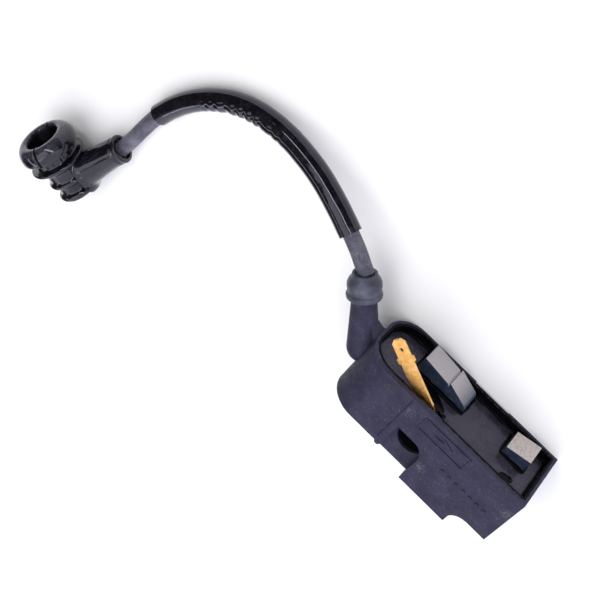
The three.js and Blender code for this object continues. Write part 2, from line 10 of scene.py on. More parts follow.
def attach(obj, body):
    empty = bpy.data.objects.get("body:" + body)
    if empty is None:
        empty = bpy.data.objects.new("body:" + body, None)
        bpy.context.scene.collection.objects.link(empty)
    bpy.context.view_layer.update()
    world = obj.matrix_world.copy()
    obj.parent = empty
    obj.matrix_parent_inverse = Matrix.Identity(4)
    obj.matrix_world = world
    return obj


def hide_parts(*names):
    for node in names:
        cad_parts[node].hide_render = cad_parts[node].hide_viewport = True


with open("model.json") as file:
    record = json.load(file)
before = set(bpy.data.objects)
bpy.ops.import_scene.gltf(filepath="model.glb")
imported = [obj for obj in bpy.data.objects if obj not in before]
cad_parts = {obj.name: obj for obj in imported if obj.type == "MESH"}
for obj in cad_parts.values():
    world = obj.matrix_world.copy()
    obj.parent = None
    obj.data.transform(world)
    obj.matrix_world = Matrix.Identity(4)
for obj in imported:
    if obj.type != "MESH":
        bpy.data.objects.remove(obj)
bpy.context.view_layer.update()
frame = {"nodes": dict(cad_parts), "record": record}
nodes = frame["nodes"]
scene = bpy.context.scene

MM = 0.001
WELD_DISTANCE = 0.00001

# The plug cap: the elbow's place in mm, and the ways its mouth and its arm point.
CAP_ELBOW = (-129.6, -41.7, 9.05)
CAP_MOUTH = (-0.742, 0.553, 0.378)
CAP_ARM = (0.402, 0.9, -0.166)

# ---------------------------------------------------------------- camera

CAMERA_PLACE = (-0.0135, 0.2509, 0.3067)
CAMERA_LENS = 79.34
RIGHT = Vector((0.713, 0.485, -0.507))
BACK = Vector((0.083, 0.659, 0.748)).normalized()
RIGHT = (RIGHT - BACK * RIGHT.dot(BACK)).normalized()
UP = BACK.cross(RIGHT)
camera_data = bpy.data.cameras.new("camera")
camera_data.lens = CAMERA_LENS
camera_data.sensor_width = 36
camera_data.clip_start = 0.01
camera = bpy.data.objects.new("camera", camera_data)
camera.matrix_world = Matrix.Translation(CAMERA_PLACE) @ Matrix(
    (RIGHT, UP, BACK)).transposed().to_4x4()
scene.collection.objects.link(camera)
scene.camera = camera
scene.view_settings.view_transform = "Standard"

# ---------------------------------------------------------------- node helpers

# The dark plastics and rubbers of this part shine slightly blue.
BLUISH = (0.74, 0.74, 1.0, 1.0)


class Shader:
    """A material with one Principled shader and short calls to add nodes.

    Patterns are laid out in millimetres of the part."""

    def __init__(self, name, **values):
        self.material = bpy.data.materials.new(name)
        self.material.use_nodes = True
        self.tree = self.material.node_tree
        self.surface = self.tree.nodes["Principled BSDF"]
        if "Metallic" not in values:
            self.surface.inputs["Specular Tint"].default_value = BLUISH
        for key, value in values.items():
            self.surface.inputs[key.replace("_", " ")].default_value = value
        where = self.tree.nodes.new("ShaderNodeTexCoord").outputs["Object"]
        self.mm = self.vector("SCALE", where, Scale=1 / MM)

    def feed(self, node, inputs):
        for key, value in inputs.items():
            socket = node.inputs[key if isinstance(key, int) else key.replace("_", " ")]
            if isinstance(value, bpy.types.NodeSocket):
                self.tree.links.new(value, socket)
            else:
                socket.default_value = value

    def vector(self, operation, *values, **named):
        node = self.tree.nodes.new("ShaderNodeVectorMath")
        node.operation = operation
        self.feed(node, {**dict(enumerate(values)), **named})
        return node.outputs["Value" if operation in ("DOT_PRODUCT", "LENGTH") else "Vector"]

    def math(self, operation, *values):
        node = self.tree.nodes.new("ShaderNodeMath")
        node.operation = operation
        self.feed(node, dict(enumerate(values)))
        return node.outputs[0]

    def stretched(self, scale, turn=(0, 0, 0)):
        node = self.tree.nodes.new("ShaderNodeMapping")
        node.vector_type = "TEXTURE"
        self.feed(node, {"Vector": self.mm, "Scale": [1 / x for x in scale], "Rotation": turn})
        return node.outputs[0]

    def noise(self, scale, detail=3.0, roughness=0.55, at=None, warp=0.0):
        node = self.tree.nodes.new("ShaderNodeTexNoise")
        self.feed(node, {"Vector": at or self.mm, "Scale": scale, "Detail": detail,
                         "Roughness": roughness, "Distortion": warp})
        return node.outputs["Fac"]

    def cells(self, scale):
        node = self.tree.nodes.new("ShaderNodeTexVoronoi")
        self.feed(node, {"Vector": self.mm, "Scale": scale})
        return node.outputs["Distance"], node.outputs["Color"]

    def ramp(self, value, low, high, start=0.0, end=1.0):
        node = self.tree.nodes.new("ShaderNodeMapRange")
        node.interpolation_type = "SMOOTHSTEP"
        self.feed(node, {"Value": value, "From_Min": low, "From_Max": high,
                         "To_Min": start, "To_Max": end})
        return node.outputs[0]

    def mix(self, factor, a, b):
        node = self.tree.nodes.new("ShaderNodeMix")
        node.data_type = "RGBA"
        for index, value in ((0, factor), (6, a), (7, b)):
            self.feed(node, {index: value})
        return node.outputs[2]

    def bump(self, height, strength, distance):
        node = self.tree.nodes.new("ShaderNodeBump")
        self.feed(node, {"Height": height, "Strength": strength, "Distance": distance * MM})
        old = self.surface.inputs["Normal"]
        if old.is_linked:
            self.feed(node, {"Normal": old.links[0].from_socket})
        self.feed(self.surface, {"Normal": node.outputs[0]})

    def specks(self, scale, size, share):
        """Small round marks: one in each of a share of the cells."""
        distance, colour = self.cells(scale)
        near = self.ramp(distance, size, size * 0.55)
        split = self.tree.nodes.new("ShaderNodeSeparateColor")
        self.feed(split, {"Color": colour})
        chosen = self.math("LESS_THAN", split.outputs[0], share)
        return self.math("MULTIPLY", near, chosen)

    def scratches(self, turn):
        """Thin wandering lines, drawn out along one direction."""
        value = self.noise(1.0, 2.0, 0.5, at=self.stretched((0.5, 7.0, 7.0), turn))
        return self.ramp(self.math("ABSOLUTE", self.math("SUBTRACT", value, 0.5)), 0.012, 0.0)

    def facing(self, direction):
        """How far the real surface faces a direction of the part."""
        normal = self.tree.nodes.new("ShaderNodeTexCoord").outputs["Normal"]
        return self.vector("DOT_PRODUCT", normal, direction)

    def set(self, **sockets):
        self.feed(self.surface, sockets)
        return self.material


def rgb(red, green, blue):
    """Linear colour from a display colour of 0 to 255."""
    def linear(value):
        value /= 255
        return value / 12.92 if value <= 0.04045 else ((value + 0.055) / 1.055) ** 2.4
    return (linear(red), linear(green), linear(blue), 1)


# ---------------------------------------------------------------- materials


def moulded(name, dark, light, dust, rough, grain, dust_share=0.16, worn=(), painted_shade_hole=None,
            **values):
    """Moulded plastic or rubber: cloudy colour, fine grain, dust specks and light scuffs.

    Worn spots gather more dust. The hole given is a deep round hole whose inside is painted
    near-black, deeper down: painted shade, not the plastic's colour."""
    s = Shader(name, **values)
    cloud = s.ramp(s.noise(0.16, 4), 0.35, 0.68)
    colour = s.mix(cloud, dark, light)
    fine = s.noise(5.5, 3)
    colour = s.mix(s.ramp(fine, 0.52, 0.78, 0, 0.1), colour, dust)
    marks = s.math("MAXIMUM", s.specks(1.1, 0.15, dust_share),
                   s.specks(3.1, 0.3, dust_share * 1.4))
    marks = s.math("MAXIMUM", marks, s.math("MULTIPLY", 0.5, s.scratches((0.3, 0.5, 0.9))))
    marks = s.math("MULTIPLY", marks, s.ramp(s.noise(0.3, 2), 0.4, 0.62))
    for spot in worn:
        away = s.vector("LENGTH", s.vector("SUBTRACT", s.mm, spot))
        patch = s.math("MULTIPLY", s.ramp(away, 2.6, 0.5),
                       s.ramp(s.noise(2.4, 4, 0.7), 0.46, 0.62))
        marks = s.math("MAXIMUM", marks, s.math("MULTIPLY", patch, 0.6))
    colour = s.mix(s.math("MULTIPLY", marks, 0.75), colour, dust)
    # Painted shade: the inside of the deep hole is painted near-black, darker further down.
    if painted_shade_hole:
        centre, radius = painted_shade_hole
        flat = s.vector("MULTIPLY", s.vector("SUBTRACT", s.mm, centre), (1, 1, 0))
        painted_shade_inside = s.ramp(s.vector("LENGTH", flat), radius + 0.2, radius - 0.1)
        deep = s.ramp(s.vector("DOT_PRODUCT", s.mm, (0, 0, 1)), centre[2], centre[2] - 1.5)
        colour = s.mix(s.math("MULTIPLY", painted_shade_inside, deep), colour, rgb(8, 8, 11))
    s.bump(s.noise(9.0, 2), grain, 0.05)
    roughness = s.ramp(s.noise(0.8, 3), 0.3, 0.7, rough - 0.07, rough + 0.09)
    return s.set(Base_Color=colour, Roughness=roughness)


def make_steel():
    """Laminations: fine lines on the ground poles, blued sides, and a rusty trailing pole."""
    s = Shader("core_steel", Metallic=1.0)
    ground = s.ramp(s.facing((0, 1, 0)), 0.80, 0.93)
    across = s.vector("DOT_PRODUCT", s.mm, (0.961, 0, 0.276))
    waver = s.math("MULTIPLY", 5.0, s.noise(0.5, 2, 0.5))
    lines = s.math("SINE", s.math("ADD", s.math("MULTIPLY", across, 11.4), waver))
    lines = s.math("MULTIPLY", lines, s.ramp(s.noise(1.5, 2), 0.3, 0.7, 0.1, 0.5))
    lines = s.math("ADD", lines, 0.5)
    layers = s.noise(1.0, 1, 0.5, at=s.stretched((0.02, 0.02, 3.2)))
    bright = s.mix(s.ramp(lines, 0.1, 0.9), rgb(158, 153, 157), rgb(182, 177, 180))
    blued = s.mix(s.ramp(layers, 0.4, 0.6), rgb(40, 52, 76), rgb(58, 72, 100))
    blued = s.mix(s.ramp(s.noise(0.7, 3), 0.45, 0.7, 0, 0.4), blued, rgb(84, 88, 102))
    trailing = s.ramp(s.vector("DOT_PRODUCT", s.mm, (1, 0, 0)), 20, 24)
    rust = s.math("MAXIMUM", s.specks(2.2, 0.4, 0.5), s.specks(4.2, 0.42, 0.4))
    rust = s.math("MULTIPLY", rust, trailing)
    bright = s.mix(s.math("MULTIPLY", trailing, 0.7), bright, rgb(206, 196, 188))
    colour = s.mix(ground, blued, s.mix(s.math("MULTIPLY", rust, 0.9), bright,
                                        rgb(98, 70, 58)))
    s.bump(lines, 0.1, 0.03)
    s.bump(layers, 0.25, 0.06)
    return s.set(Base_Color=colour, Roughness=s.ramp(lines, 0.3, 0.7, 0.36, 0.48),
                 Metallic=s.ramp(ground, 0.0, 1.0, 0.25, 0.6))


def make_resin():
    """Potting resin with a cloudy, dusty surface."""
    s = Shader("resin", Specular_IOR_Level=0.35)
    cloud = s.ramp(s.noise(0.22, 4, warp=0.8), 0.35, 0.65)
    colour = s.mix(cloud, rgb(43, 41, 51), rgb(56, 53, 64))
    dust = s.math("MULTIPLY", s.specks(1.6, 0.14, 0.16), 0.5)
    s.bump(s.noise(0.35, 2), 0.3, 0.5)
    s.bump(s.noise(2.6, 2), 0.05, 0.1)
    colour = s.mix(dust, colour, rgb(150, 146, 150))
    return s.set(Base_Color=colour, Roughness=s.ramp(s.noise(1.1, 3), 0.35, 0.7, 0.16, 0.32))


def make_meniscus_and_painted_shade():
    """Clear near-black resin where it has climbed a wall or lies in a pool. On the walls and the
    rim it is also painted shade: a dark sheet over the shaded inner walls.
    """
    s = Shader("meniscus_and_painted_shade", Specular_IOR_Level=0.07)
    s.bump(s.noise(0.9, 2), 0.3, 0.3)
    return s.set(Base_Color=s.mix(s.noise(0.8, 2), rgb(3, 3, 4), rgb(8, 7, 9)),
                 Roughness=s.ramp(s.noise(1.4, 2), 0.3, 0.7, 0.05, 0.14))


def metal(name, dark, light, rough, lines=(1.0, 6.0, 6.0)):
    """Cloudy metal with brushed lines, drawn out by the scale of each axis."""
    s = Shader(name, Metallic=1.0)
    brushed = s.noise(1.0, 3, 0.5, at=s.stretched(lines, (0.1, 0.2, 0.6)))
    cloud = s.ramp(s.noise(0.7, 3), 0.3, 0.7)
    s.bump(brushed, 0.2, 0.03)
    return s.set(Base_Color=s.mix(cloud, dark, light),
                 Roughness=s.ramp(brushed, 0.3, 0.7, rough - 0.06, rough + 0.08))


def make_cap_rubber(elbow, mouth):
    """Glossy black rubber, dusty on the flange round the mouth, with painted shade: near-black
    inside the mouth and along the nick in the flange.
    """
    s = Shader("cap_rubber", Specular_IOR_Level=0.15, Coat_Roughness=0.07)
    colour = s.mix(s.ramp(s.noise(0.2, 4), 0.35, 0.65), rgb(9, 9, 15), rgb(20, 19, 29))
    place = s.vector("SUBTRACT", s.mm, elbow)
    height = s.vector("DOT_PRODUCT", place, mouth)
    away = s.vector("LENGTH", s.vector("CROSS_PRODUCT", place, mouth))
    # Painted shade: the bore of the mouth is painted near-black.
    painted_shade_inside = s.math("MULTIPLY", s.ramp(away, 5.9, 5.5), s.ramp(height, -3.2, -2.9))
    # Painted shade along the moulding nick in the flange, where the barrel's radius drops.
    nick_shade = s.math("ABSOLUTE", s.vector("DOT_PRODUCT", place, (0.51, 0.83, -0.22)))
    nick_shade = s.math("MULTIPLY", s.ramp(nick_shade, 0.42, 0.2), s.ramp(height, 10.6, 10.8))
    painted_shade_inside = s.math("MAXIMUM", painted_shade_inside, nick_shade)
    up = s.math("MULTIPLY", s.ramp(s.facing(mouth), 0.2, 0.8), s.ramp(height, 10, 12))
    film = s.math("MULTIPLY", up, s.ramp(s.noise(1.3, 4, 0.7), 0.3, 0.75, 0.25, 0.9))
    marks = s.math("MAXIMUM", s.specks(1.3, 0.17, 0.12), s.specks(3.3, 0.3, 0.16))
    marks = s.math("MULTIPLY", marks, s.ramp(s.noise(0.35, 2), 0.38, 0.6))
    colour = s.mix(s.math("MULTIPLY", film, 0.8), colour, rgb(80, 79, 90))
    colour = s.mix(s.math("MULTIPLY", marks, 0.7), colour, rgb(128, 122, 118))
    s.bump(s.noise(8.0, 2), 0.15, 0.05)
    rough = s.math("ADD", s.ramp(s.noise(0.8, 3), 0.3, 0.7, 0.06, 0.13),
                   s.math("MULTIPLY", film, 0.3))
    rough = s.math("ADD", rough, s.math("MULTIPLY", painted_shade_inside, 0.25))
    return s.set(Base_Color=s.mix(painted_shade_inside, colour, rgb(2, 2, 3)), Roughness=rough,
                 Coat_Weight=s.ramp(painted_shade_inside, 0.0, 1.0, 0.65, 0.0))


MATERIAL = {
    "housing_plastic": moulded("housing_plastic", rgb(39, 37, 55), rgb(48, 46, 67),
                               rgb(136, 134, 138), 0.6, 0.5, Specular_IOR_Level=0.3,
                               worn=((-0.1, 1.4, 25.2), (13.2, -11.0, 25.2),
                                     (39.2, -0.5, 25.2), (33.0, -19.0, 25.2)),
                               # painted shade inside the screw pocket's bore
                               painted_shade_hole=((6.0, -9.1, 20.5), 5.1)),
    "epoxy": make_resin(),
    "meniscus_and_painted_shade": make_meniscus_and_painted_shade(),
    "core_steel": make_steel(),
    "rivet_steel": metal("rivet_steel", rgb(120, 116, 114), rgb(176, 172, 170), 0.4),
    "bobbin_plastic": moulded("bobbin_plastic", rgb(196, 190, 168), rgb(222, 216, 196),
                              rgb(160, 150, 130), 0.5, 0.3),
    "copper_wire": metal("copper_wire", rgb(150, 74, 36), rgb(205, 118, 66), 0.3,
                         (0.3, 8.0, 8.0)),
    "ferrite": moulded("ferrite", rgb(52, 52, 54), rgb(70, 70, 72), rgb(110, 108, 104),
                       0.6, 0.6),
    "board_laminate": moulded("board_laminate", rgb(44, 96, 62), rgb(64, 124, 78),
                              rgb(150, 160, 130), 0.45, 0.2),
    "component_body": moulded("component_body", rgb(66, 38, 30), rgb(104, 60, 40),
                              rgb(170, 140, 120), 0.4, 0.2),
    "brass": metal("brass", rgb(228, 170, 92), rgb(252, 202, 128), 0.38),
    "boot_rubber": moulded("boot_rubber", rgb(52, 53, 63), rgb(82, 83, 96),
                           rgb(136, 134, 138), 0.42, 0.35, Specular_IOR_Level=0.4),
    "lead_rubber": moulded("lead_rubber", rgb(62, 61, 71), rgb(101, 99, 111),
                           rgb(178, 175, 180), 0.5, 0.7, 0.4, Specular_IOR_Level=0.4),
    "sleeve_rubber": moulded("sleeve_rubber", rgb(7, 6, 11), rgb(14, 12, 20),
                             rgb(120, 112, 110), 0.1, 0.04, 0.04, Specular_IOR_Level=0.4,
                             Coat_Weight=0.3, Coat_Roughness=0.05),
    "cap_rubber": make_cap_rubber(CAP_ELBOW, CAP_MOUTH),
    "spring_steel": metal("spring_steel", rgb(130, 130, 132), rgb(190, 190, 192), 0.3),
}

for entry in frame["record"]["subparts"]:
    cad_object = nodes[entry["node"]]
    cad_object.data.materials.clear()
    cad_object.data.materials.append(MATERIAL[entry["material_slot"]])

# ---------------------------------------------------------------- mesh helpers


def link(name, mesh, material, body="module"):
    """A new piece with its material and its slot, riding on a body."""
    piece = bpy.data.objects.new(name, mesh)
    scene.collection.objects.link(piece)
    mesh.materials.append(MATERIAL[material])
    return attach(piece, body)


def finished_mesh(name, points, faces):
    """A smooth-shaded mesh with its faces turned outwards."""
    mesh = bpy.data.meshes.new(name)
    mesh.from_pydata([tuple(p) for p in points], [], faces)
    mesh.validate()
    build = bmesh.new()
    build.from_mesh(mesh)
    bmesh.ops.recalc_face_normals(build, faces=build.faces)
    build.to_mesh(mesh)
    build.free()
    mesh.polygons.foreach_set("use_smooth", [True] * len(mesh.polygons))
    mesh.set_sharp_from_angle(angle=math.radians(38))
    return mesh


def smooth_line(points, steps):
    """Centripetal Catmull-Rom curve through the points."""
    ends = [points[0] * 2 - points[1], *points, points[-1] * 2 - points[-2]]
    line = []
    for p0, p1, p2, p3 in zip(ends, ends[1:], ends[2:], ends[3:]):
        t1 = math.sqrt((p1 - p0).length)
        t2 = t1 + math.sqrt((p2 - p1).length)
        t3 = t2 + math.sqrt((p3 - p2).length)
        for step in range(steps):
            t = t1 + (t2 - t1) * step / steps
            a1 = p0.lerp(p1, t / t1)
            a2 = p1.lerp(p2, (t - t1) / (t2 - t1))
            a3 = p2.lerp(p3, (t - t2) / (t3 - t2))
            b1 = a1.lerp(a2, t / t2)
            b2 = a2.lerp(a3, (t - t1) / (t3 - t1))
            line.append(b1.lerp(b2, (t - t1) / (t2 - t1)))
    return line + [points[-1].copy()]


def resampled(line, spacing):
    """Even points along a line."""
    total = sum((b - a).length for a, b in zip(line, line[1:]))
    count = max(2, round(total / spacing))
    even, done, index = [line[0].copy()], 0.0, 0
    for step in range(1, count):
        want = total * step / count
        while done + (line[index + 1] - line[index]).length < want:
            done += (line[index + 1] - line[index]).length
            index += 1
        a, b = line[index], line[index + 1]
        even.append(a.lerp(b, (want - done) / (b - a).length))
    return even + [line[-1].copy()]


def frames_along(line):
    """Points with two steady cross directions, carried along without twist."""
    side, result = Vector((0, 0, 1)), []
    for index, point in enumerate(line):
        ahead = line[min(index + 1, len(line) - 1)] - line[max(index - 1, 0)]
        ahead.normalize()
        side = (side - ahead * side.dot(ahead)).normalized()
        result.append((point, side, ahead.cross(side)))
    return result


def stitch(rings, faces):
    """Joins each ring of points to the next."""
    for a, b in zip(rings, rings[1:]):
        for k in range(len(a)):
            n = (k + 1) % len(a)
            faces.append((a[k], a[n], b[n], b[k]))


def tube(name, line, sides, radius, bore=0.0):
    """A tube along a line; radius is called with the share along it and the angle."""
    points, faces, rings = [], [], []
    along = frames_along(line)

    def ring(place, size):
        point, side, across = place
        rings.append(range(len(points), len(points) + sides))
        for k in range(sides):
            angle = 2 * math.pi * k / sides
            out = side * math.cos(angle) + across * math.sin(angle)
            points.append(point + out * size(angle))

    for index, place in enumerate(along):
        share = index / (len(along) - 1)
        ring(place, lambda angle, share=share: radius(share, angle))
    if bore:
        for place in reversed(along):
            ring(place, lambda angle: bore)
        rings.append(rings[0])
    stitch(rings, faces)
    if not bore:
        faces += [tuple(rings[0]), tuple(rings[-1])]
    return finished_mesh(name, points, faces)


def lathe(name, profile, matrix, sides, change):
    """A closed solid turned about the matrix's Z from (radius, height) points in mm.

    change gives the real radius from the radius, the height and the angle."""
    points, faces, rings = [], [], []
    for radius, height in profile:
        if radius == 0:
            rings.append([len(points)] * sides)
            points.append(matrix @ Vector((0, 0, height * MM)))
            continue
        rings.append(list(range(len(points), len(points) + sides)))
        for k in range(sides):
            angle = 2 * math.pi * k / sides
            size = change(radius, height, angle)
            points.append(matrix @ Vector((size * MM * math.cos(angle),
                                           size * MM * math.sin(angle), height * MM)))
    closed = profile[0][0] != 0
    for a, b in zip(rings, rings[1:] + ([rings[0]] if closed else [])):
        for k in range(sides):
            n = (k + 1) % sides
            corners = list(dict.fromkeys((a[k], a[n], b[n], b[k])))
            if len(corners) > 2:
                faces.append(corners)
    return finished_mesh(name, points, faces)


def rounded(profile, steps):
    """A profile with its corners eased: a curve through points that sit close together."""
    line = smooth_line([Vector((r, z, 0)) for r, z in profile], steps)
    return [(max(0.0, p.x), p.y) for p in line]


# ---------------------------------------------------------------- high-tension lead

ROUTE = [Vector(p) * MM for p in (
    (-38.4, 18.2, 13.1), (-42.7, 20.8, 12.9), (-47.1, 22.8, 12.5), (-55.9, 25.7, 11.0),
    (-64.2, 27.2, 9.0), (-73.0, 27.7, 7.2), (-81.8, 27.1, 5.7), (-90.3, 25.2, 4.6),
    (-98.2, 21.7, 4.0), (-104.9, 16.5, 3.8), (-110.0, 10.6, 3.75), (-113.8, 4.2, 3.75),
    (-116.6, -2.8, 3.75), (-118.2, -9.5, 3.85), (-119.3, -15.8, 4.2), (-120.3, -20.2, 4.6))]
LEAD_RADIUS = 2.5 * MM
IN_BOOT = 2.4 * MM              # how far the lead runs on into the boot and the cap
IN_CAP = 1.6 * MM
SLEEVE_SPAN = (0.09, 0.835)     # shares of the route where the sleeve starts and ends
SLEEVE_BORE = 2.62 * MM
WRINKLES = 24                   # in the whole sleeve
WRINKLE_MIDDLE = 0.58           # share of the sleeve at the tightest bend
WRINKLE_REACH = 0.2
INNER_SIDE = math.radians(62)   # the side of the sleeve that faces into the bend

route_line = smooth_line(ROUTE, 24)
lead_line = resampled(route_line, 1.0 * MM)


def lead_radius(share, angle):
    """Slight lumps in the lead."""
    lump = noise.noise(Vector((share * 30, math.cos(angle), math.sin(angle))))
    return LEAD_RADIUS * (1 + 0.012 * lump)


lead_ends = [lead_line[0] - (lead_line[1] - lead_line[0]).normalized() * IN_BOOT,
             lead_line[-1] + (lead_line[-1] - lead_line[-2]).normalized() * IN_CAP]
lead_line = [lead_ends[0], *lead_line, lead_ends[1]]
lead = link("high_tension_lead", tube("high_tension_lead", lead_line, 28, lead_radius),
            "lead_rubber")
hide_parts("ht_lead")

fine_line = resampled(route_line, 0.1 * MM)
first, last = (round(share * (len(fine_line) - 1)) for share in SLEEVE_SPAN)
sleeve_line = resampled(fine_line[first:last + 1], 0.5 * MM)


def sleeve_radius(share, angle):
    """Wrinkles on the inside of the tightest bend, and slightly uneven ends."""
    inner = max(0.0, math.cos(angle + INNER_SIDE)) ** 1.8
    window = max(0.0, 1 - abs(share - WRINKLE_MIDDLE) / WRINKLE_REACH) ** 0.6
    uneven = 0.007 * math.sin(share * 33) + 0.004 * math.sin(share * 71)
    wave = abs(math.sin(math.pi * WRINKLES * (share + uneven))) - 0.6
    wave *= 0.9 + 0.8 * noise.noise(Vector((share * 50, 0.5, 2.5)))
    lump = noise.noise(Vector((share * 22, math.cos(angle) * 0.8, math.sin(angle) * 0.8)))
    return (3.50 + 0.05 * lump + 0.75 * window * inner * wave) * MM


sleeve = link("wrinkled_sleeve", tube("wrinkled_sleeve", sleeve_line, 40, sleeve_radius,
                                      SLEEVE_BORE), "sleeve_rubber")
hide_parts("protective_sleeve")

# ---------------------------------------------------------------- plug cap

ELBOW = Vector(CAP_ELBOW) * MM
ARM = Vector(CAP_ARM).normalized()
MOUTH = Vector(CAP_MOUTH).normalized()
SIDE = ARM.cross(MOUTH).normalized()


def placed(axis, side, origin):
    """A frame whose Z is the axis, with its Y on the side direction."""
    turn = Matrix((side.cross(axis), side, axis)).transposed().to_4x4()
    return Matrix.Translation(origin) @ turn


# Outlines as (radius, height) in mm, with the height measured from the elbow.
BARREL_OUTSIDE = [
    (0, -6.5), (3.0, -6.5), (5.2, -6.5), (6.1, -6.35), (6.7, -5.9), (6.98, -5.2), (6.9, -4.6),
    (6.5, -4.1), (5.95, -3.75), (5.78, -3.3), (5.75, -2.4), (5.8, -1.4), (6.1, -0.95),
    (6.8, -0.6), (7.2, -0.15), (7.32, 0.35), (7.15, 0.85), (6.7, 1.2), (6.45, 1.7), (6.42, 3.0),
    (6.5, 4.4), (6.8, 5.0), (7.7, 5.5), (8.8, 6.15), (9.4, 6.65), (9.5, 7.15), (9.3, 7.55),
    (8.5, 7.7), (7.6, 7.8), (7.2, 8.1), (7.1, 8.7), (7.1, 9.5), (7.1, 10.2), (7.3, 10.55),
    (8.2, 10.7), (9.2, 10.85), (9.7, 11.2), (9.9, 11.9), (9.88, 12.8), (9.65, 14.0),
    (9.15, 15.1), (8.4, 15.95), (7.5, 16.45), (6.7, 16.55), (6.1, 16.4), (5.75, 16.1),
]
BARREL_INSIDE = [(5.5, 15.7), (5.3, 15.3), (5.2, 6.2), (5.0, 6.0), (4.6, 5.9), (4.5, 5.7),
                 (4.5, -2.8), (4.3, -3.0), (0, -3.0)]
ARM_OUTSIDE = [(5.2, 5.2)] + [(4.62 + 0.5 * max(0.0, 1 - z / 14), z) for z in
                              (5.6, 6.2, 6.8, 7.4, 8.0, 8.7, 9.5, 10.5, 12, 14, 16, 18, 20)]
ARM_LIP = [(4.6, 20.5), (4.5, 20.75), (4.25, 20.95), (4.2, 21.2), (4.25, 21.45),
           (4.55, 21.65), (4.7, 21.95), (4.72, 22.4), (4.55, 22.75), (4.2, 22.9), (3.6, 22.88)]
ARM_BORE = [(3.35, 22.6), (3.3, 21.8), (2.85, 21.6), (2.8, 21.2), (2.8, 5.2)]
BARREL_INNER_EDGE = 5.6         # smaller radii are inside the barrel
ARM_INNER_EDGE = 3.5


def moulded_barrel(radius, height, angle):
    """A moulding line with a nick in the flange, and blocks between the two flanges."""
    if radius < BARREL_INNER_EDGE:
        return radius
    line = max(0.0, 1 - abs(math.cos(angle)) / 0.06)
    blocks = 0.0
    if 8.5 < height < 10.5:
        blocks = 0.45 * min(1.0, max(0.0, 1.2 + 3 * math.cos(9 * angle)))
    return radius + (-0.8 if height > 11 else 0.12) * line + blocks


def flared(radius, height, angle):
    """The arm widens into the barrel with a fillet."""
    if radius < ARM_INNER_EDGE or height > 19:
        return radius
    away = math.hypot(height, radius * math.sin(angle)) - 6.5
    share = min(1.0, max(0.0, 1 - away / 2.2))
    web = max(0.0, -math.cos(angle)) * max(0.0, 1 - (height - 5) / 14)
    return radius + 1.4 * (1 - math.sqrt(1 - share * share)) + 1.9 * web


barrel = lathe("cap_barrel", rounded(BARREL_OUTSIDE, 3) + BARREL_INSIDE,
               placed(MOUTH, SIDE, ELBOW), 180, moulded_barrel)
arm = lathe("cap_arm", ARM_OUTSIDE + ARM_LIP + ARM_BORE, placed(ARM, SIDE, ELBOW), 96, flared)
joined = bmesh.new()
joined.from_mesh(barrel)
joined.from_mesh(arm)
cap_mesh = bpy.data.meshes.new("rubber_plug_cap")
joined.to_mesh(cap_mesh)
joined.free()
cap_mesh.set_sharp_from_angle(angle=math.radians(45))
plug_cap = link("rubber_plug_cap", cap_mesh, "cap_rubber", "cap")
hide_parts("plug_cap")

# ---------------------------------------------------------------- module


def eased(node, width, angle=32):
    """Small rounded edges on a CAD piece, made by modifiers, so its shape stays as it is."""
    piece = nodes[node]
    mesh = piece.data
    for name in [a.name for a in mesh.attributes if a.name == "custom_normal"]:
        mesh.attributes.remove(mesh.attributes[name])
    mesh.polygons.foreach_set("use_smooth", [True] * len(mesh.polygons))
    weld = piece.modifiers.new("weld", "WELD")
    weld.merge_threshold = WELD_DISTANCE
    flat = piece.modifiers.new("flat", "DECIMATE")
    flat.decimate_type = "DISSOLVE"
    flat.angle_limit = math.radians(0.6)
    bevel = piece.modifiers.new("edges", "BEVEL")
    bevel.width = width * MM
    bevel.segments = 2
    bevel.limit_method = "ANGLE"
    bevel.angle_limit = math.radians(angle)
    bevel.harden_normals = True


eased("housing", 0.22)
eased("laminated_core", 0.12)
eased("potting_compound", 0.05)
eased("kill_terminal", 0.08)
eased("tower_boot", 0.15, 38)   # a wider angle, so that its turned facets aren't edges
for entry in frame["record"]["subparts"]:
    if not nodes[entry["node"]].modifiers and not nodes[entry["node"]].hide_render:
        eased(entry["node"], 0.04)

# ---------------------------------------------------------------- resin meniscus


def top_loops(node, level):
    """Closed loops of the edges round a piece's flat top, and whether each is the outer one.

    Each loop starts at the rim edge with the lowest index, so every run gives the same loops."""
    build = bmesh.new()
    build.from_mesh(nodes[node].data)
    bmesh.ops.remove_doubles(build, verts=build.verts, dist=WELD_DISTANCE)
    build.edges.index_update()
    tops = {f for f in build.faces if f.normal.y > 0.99 and f.calc_center_median().y > level}
    rim = {e for f in tops for e in f.edges if sum(g in tops for g in e.link_faces) == 1}
    loops = []
    while rim:
        edge = min(rim, key=lambda e: e.index)
        rim.remove(edge)
        start, end = edge.verts
        corners = [start.co.copy()]
        while end != start:
            corners.append(end.co.copy())
            edge = next(e for e in end.link_edges if e in rim)
            rim.discard(edge)
            end = edge.other_vert(end)
        area = sum(a.z * b.x - a.x * b.z for a, b in zip(corners, corners[1:] + corners[:1]))
        loops.append((corners, area))
    build.free()
    widest = max(abs(area) for _, area in loops)
    return [(corners if area > 0 else corners[::-1], abs(area) == widest)
            for corners, area in loops]


